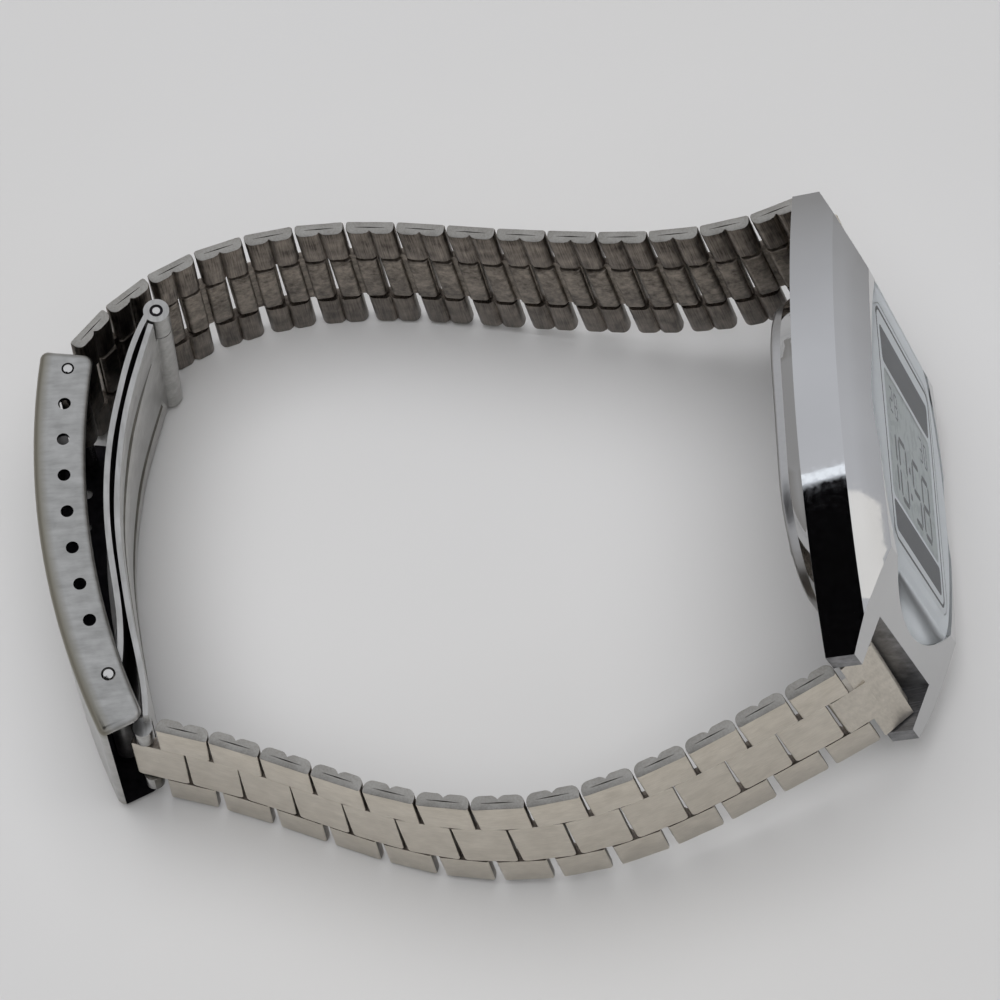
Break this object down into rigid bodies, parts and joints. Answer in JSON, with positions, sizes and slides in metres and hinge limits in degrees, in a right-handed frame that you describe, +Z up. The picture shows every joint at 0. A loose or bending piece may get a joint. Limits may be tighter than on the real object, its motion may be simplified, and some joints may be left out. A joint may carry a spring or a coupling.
{
  "type": "digital wrist watch",
  "caption": "Digital wrist watch on a steel link bracelet, lying on its side with the fold-over clasp closed; every link, the clasp blades and the push buttons move.",
  "frame": {"origin": "middle of the bounding box underside, on the table", "axes": "+X from the clasp to the case, along the long way of the loop; +Z up, away from the table; +Y toward the twelve o'clock strip"},
  "size_m": [0.081, 0.0582, 0.033],
  "materials": {
    "brushed_link_steel": "brushed along the pins, rough stamped inner side",
    "polished_case": "mirror polished",
    "clear_glass": "polished",
    "black_rubber": "matt",
    "dial_print": "satin",
    "black_plastic": "matt",
    "circuit_green": "satin",
    "contact_metal": "satin",
    "satin_steel": "satin",
    "clasp_steel": "fine lengthwise brushing, bright edges"
  },
  "bodies": {
    "case": {"case_body": "polished_case", "crystal": "clear_glass", "crystal_gasket": "black_rubber", "dial_plate": "dial_print", "display_glass": "clear_glass", "module_frame": "black_plastic", "circuit_board": "circuit_green", "side_contacts": "contact_metal", "connector_strips": "black_rubber", "lamp": "black_plastic", "battery": "satin_steel", "battery_clip": "contact_metal", "buzzer_contact": "contact_metal", "back_gasket": "black_rubber", "case_back": "satin_steel", "back_screws": "satin_steel", "lug_bar_upper": "satin_steel", "lug_bar_lower": "satin_steel"},
    "button_upper": {"button_1": "satin_steel"},
    "button_lower": {"button_2": "satin_steel"},
    "upper_end": {"end_link_upper": "brushed_link_steel"},
    "lower_end": {"end_link_lower": "brushed_link_steel"},
    "upper_link_01": {"upper_link_01": "brushed_link_steel"},
    "upper_link_02": {"upper_link_02": "brushed_link_steel"},
    "upper_link_03": {"upper_link_03": "brushed_link_steel"},
    "upper_link_04": {"upper_link_04": "brushed_link_steel"},
    "upper_link_05": {"upper_link_05": "brushed_link_steel"},
    "upper_link_06": {"upper_link_06": "brushed_link_steel"},
    "upper_link_07": {"upper_link_07": "brushed_link_steel"},
    "upper_link_08": {"upper_link_08": "brushed_link_steel"},
    "upper_link_09": {"upper_link_09": "brushed_link_steel"},
    "upper_link_10": {"upper_link_10": "brushed_link_steel"},
    "upper_link_11": {"upper_link_11": "brushed_link_steel"},
    "upper_link_12": {"upper_link_12": "brushed_link_steel"},
    "upper_link_13": {"upper_link_13": "brushed_link_steel"},
    "upper_link_14": {"upper_link_14": "brushed_link_steel"},
    "upper_link_15": {"upper_link_15": "brushed_link_steel"},
    "lower_link_01": {"lower_link_01": "brushed_link_steel"},
    "lower_link_02": {"lower_link_02": "brushed_link_steel"},
    "lower_link_03": {"lower_link_03": "brushed_link_steel"},
    "lower_link_04": {"lower_link_04": "brushed_link_steel"},
    "lower_link_05": {"lower_link_05": "brushed_link_steel"},
    "lower_link_06": {"lower_link_06": "brushed_link_steel"},
    "lower_link_07": {"lower_link_07": "brushed_link_steel"},
    "lower_link_08": {"lower_link_08": "brushed_link_steel"},
    "lower_link_09": {"lower_link_09": "brushed_link_steel"},
    "lower_link_10": {"lower_link_10": "brushed_link_steel"},
    "lower_link_11": {"lower_link_11": "brushed_link_steel"},
    "lower_link_12": {"lower_link_12": "brushed_link_steel"},
    "lower_link_13": {"lower_link_13": "brushed_link_steel", "clasp_end_pin": "satin_steel"},
    "clasp_cover": {"clasp_cover": "clasp_steel", "clasp_bar": "satin_steel", "clasp_first_pin": "satin_steel"},
    "clasp_blade_a": {"clasp_blade_a": "clasp_steel", "clasp_fold_pin": "satin_steel"},
    "clasp_blade_b": {"clasp_blade_b": "clasp_steel"}
  },
  "joints": [
    {"name": "button_upper_press", "type": "slide", "parent": "case", "child": "button_upper", "axis": [-0.3, 0.0199, 0.9537], "range_m": [0, 0.0005], "stiffness_N_per_m": 400, "springref_m": -0.0003},
    {"name": "button_lower_press", "type": "slide", "parent": "case", "child": "button_lower", "axis": [-0.3, 0.0199, 0.9537], "range_m": [0, 0.0005], "stiffness_N_per_m": 400, "springref_m": -0.0003},
    {"name": "upper_end_hinge", "type": "hinge", "parent": "case", "child": "upper_end", "pos_m": [0.03297, 0.01738, 0.01676], "axis": [0.2731, -0.0236, -0.9617], "range_deg": [0, 6]},
    {"name": "upper_link_01_hinge", "type": "hinge", "parent": "upper_end", "child": "upper_link_01", "pos_m": [0.03052, 0.02054, 0.01598], "axis": [0.2731, -0.0236, -0.9617], "range_deg": [0, 40]},
    {"name": "upper_link_02_hinge", "type": "hinge", "parent": "upper_link_01", "child": "upper_link_02", "pos_m": [0.02592, 0.0201, 0.01472], "axis": [0.2462, -0.0272, -0.9688], "range_deg": [0, 3]},
    {"name": "upper_link_03_hinge", "type": "hinge", "parent": "upper_link_02", "child": "upper_link_03", "pos_m": [0.02128, 0.02039, 0.01357], "axis": [0.219, -0.0264, -0.9754], "range_deg": [0, 3]},
    {"name": "upper_link_04_hinge", "type": "hinge", "parent": "upper_link_03", "child": "upper_link_04", "pos_m": [0.01666, 0.0212, 0.01255], "axis": [0.1921, -0.0222, -0.9811], "range_deg": [0, 3]},
    {"name": "upper_link_05_hinge", "type": "hinge", "parent": "upper_link_04", "child": "upper_link_05", "pos_m": [0.01208, 0.02233, 0.01166], "axis": [0.1657, -0.0159, -0.9861], "range_deg": [0, 3]},
    {"name": "upper_link_06_hinge", "type": "hinge", "parent": "upper_link_05", "child": "upper_link_06", "pos_m": [0.00751, 0.02358, 0.0109], "axis": [0.1395, -0.0088, -0.9902], "range_deg": [0, 3]},
    {"name": "upper_link_07_hinge", "type": "hinge", "parent": "upper_link_06", "child": "upper_link_07", "pos_m": [0.00292, 0.02485, 0.01028], "axis": [0.1133, -0.0016, -0.9936], "range_deg": [0, 3]},
    {"name": "upper_link_08_hinge", "type": "hinge", "parent": "upper_link_07", "child": "upper_link_08", "pos_m": [-0.00167, 0.02614, 0.00979], "axis": [0.0873, 0.0058, -0.9962], "range_deg": [0, 4.1]},
    {"name": "upper_link_09_hinge", "type": "hinge", "parent": "upper_link_08", "child": "upper_link_09", "pos_m": [-0.00632, 0.02728, 0.00942], "axis": [0.0613, 0.0127, -0.998], "range_deg": [0, 7.2]},
    {"name": "upper_link_10_hinge", "type": "hinge", "parent": "upper_link_09", "child": "upper_link_10", "pos_m": [-0.01105, 0.02802, 0.00917], "axis": [0.0349, 0.0176, -0.9992], "range_deg": [0, 9.3]},
    {"name": "upper_link_11_hinge", "type": "hinge", "parent": "upper_link_10", "child": "upper_link_11", "pos_m": [-0.01583, 0.02821, 0.00904], "axis": [0.0083, 0.0196, -0.9998], "range_deg": [0, 10.6]},
    {"name": "upper_link_12_hinge", "type": "hinge", "parent": "upper_link_11", "child": "upper_link_12", "pos_m": [-0.0206, 0.02774, 0.00902], "axis": [-0.0182, 0.018, -0.9997], "range_deg": [0, 12.1]},
    {"name": "upper_link_13_hinge", "type": "hinge", "parent": "upper_link_12", "child": "upper_link_13", "pos_m": [-0.02521, 0.02648, 0.00911], "axis": [-0.0439, 0.0122, -0.999], "range_deg": [0, 13.8]},
    {"name": "upper_link_14_hinge", "type": "hinge", "parent": "upper_link_13", "child": "upper_link_14", "pos_m": [-0.02949, 0.02436, 0.0093], "axis": [-0.068, 0.0018, -0.9977], "range_deg": [0, 14.8]},
    {"name": "upper_link_15_hinge", "type": "hinge", "parent": "upper_link_14", "child": "upper_link_15", "pos_m": [-0.03326, 0.02143, 0.00959], "axis": [-0.0892, -0.0132, -0.9959], "range_deg": [0, 13.7]},
    {"name": "lower_end_hinge", "type": "hinge", "parent": "case", "child": "lower_end", "pos_m": [0.0294, -0.01883, 0.01634], "axis": [-0.2736, 0.0291, 0.9614], "range_deg": [0, 6]},
    {"name": "lower_link_01_hinge", "type": "hinge", "parent": "lower_end", "child": "lower_link_01", "pos_m": [0.02651, -0.02159, 0.0156], "axis": [-0.2736, 0.0291, 0.9614], "range_deg": [0, 6]},
    {"name": "lower_link_02_hinge", "type": "hinge", "parent": "lower_link_01", "child": "lower_link_02", "pos_m": [0.0221, -0.0231, 0.01443], "axis": [-0.2466, 0.0383, 0.9684], "range_deg": [0, 3.5]},
    {"name": "lower_link_03_hinge", "type": "hinge", "parent": "lower_link_02", "child": "lower_link_03", "pos_m": [0.01765, -0.02456, 0.01339], "axis": [-0.2188, 0.0475, 0.9746], "range_deg": [0, 3.1]},
    {"name": "lower_link_04_hinge", "type": "hinge", "parent": "lower_link_03", "child": "lower_link_04", "pos_m": [0.01315, -0.02596, 0.01249], "axis": [-0.1904, 0.0567, 0.9801], "range_deg": [0, 5.8]},
    {"name": "lower_link_05_hinge", "type": "hinge", "parent": "lower_link_04", "child": "lower_link_05", "pos_m": [0.00856, -0.02708, 0.0117], "axis": [-0.161, 0.0645, 0.9848], "range_deg": [0, 8.1]},
    {"name": "lower_link_06_hinge", "type": "hinge", "parent": "lower_link_05", "child": "lower_link_06", "pos_m": [0.00386, -0.02772, 0.01101], "axis": [-0.1305, 0.0697, 0.989], "range_deg": [0, 10.8]},
    {"name": "lower_link_07_hinge", "type": "hinge", "parent": "lower_link_06", "child": "lower_link_07", "pos_m": [-0.00089, -0.02768, 0.01042], "axis": [-0.099, 0.0706, 0.9926], "range_deg": [0, 11.2]},
    {"name": "lower_link_08_hinge", "type": "hinge", "parent": "lower_link_07", "child": "lower_link_08", "pos_m": [-0.00561, -0.02697, 0.00994], "axis": [-0.0672, 0.0668, 0.9955], "range_deg": [0, 10.8]},
    {"name": "lower_link_09_hinge", "type": "hinge", "parent": "lower_link_08", "child": "lower_link_09", "pos_m": [-0.01019, -0.02561, 0.00957], "axis": [-0.0357, 0.0586, 0.9976], "range_deg": [0, 10.7]},
    {"name": "lower_link_10_hinge", "type": "hinge", "parent": "lower_link_09", "child": "lower_link_10", "pos_m": [-0.01459, -0.02371, 0.00934], "axis": [-0.0051, 0.046, 0.9989], "range_deg": [0, 6.9]},
    {"name": "lower_link_11_hinge", "type": "hinge", "parent": "lower_link_10", "child": "lower_link_11", "pos_m": [-0.01889, -0.02158, 0.00926], "axis": [0.0249, 0.0311, 0.9992], "range_deg": [0, 3]},
    {"name": "lower_link_12_hinge", "type": "hinge", "parent": "lower_link_11", "child": "lower_link_12", "pos_m": [-0.0232, -0.01948, 0.00935], "axis": [0.0553, 0.016, 0.9983], "range_deg": [0, 3]},
    {"name": "lower_link_13_hinge", "type": "hinge", "parent": "lower_link_12", "child": "lower_link_13", "pos_m": [-0.02761, -0.01761, 0.0096], "axis": [0.0867, 0.0019, 0.9962], "range_deg": [0, 3]},
    {"name": "clasp_swing", "type": "hinge", "parent": "upper_link_15", "child": "clasp_cover", "pos_m": [-0.03626, 0.01658, 0.00992], "axis": [-0.0892, -0.0132, -0.9959], "range_deg": [0, 33]},
    {"name": "blade_a_fold", "type": "hinge", "parent": "clasp_cover", "child": "clasp_blade_a", "pos_m": [-0.03443, -0.01201, 0.01013], "axis": [-0.0892, -0.0132, -0.9959], "range_deg": [0, 33]},
    {"name": "blade_b_fold", "type": "hinge", "parent": "clasp_blade_a", "child": "clasp_blade_b", "pos_m": [-0.02837, 0.02216, 0.00914], "axis": [0.0892, 0.0132, 0.9959], "range_deg": [0, 8.25]}
  ],
  "couplings": [
    {"joint": "blade_a_fold", "follows": "clasp_swing", "ratio": 1},
    {"joint": "blade_b_fold", "follows": "clasp_swing", "ratio": 0.25}
  ]
}
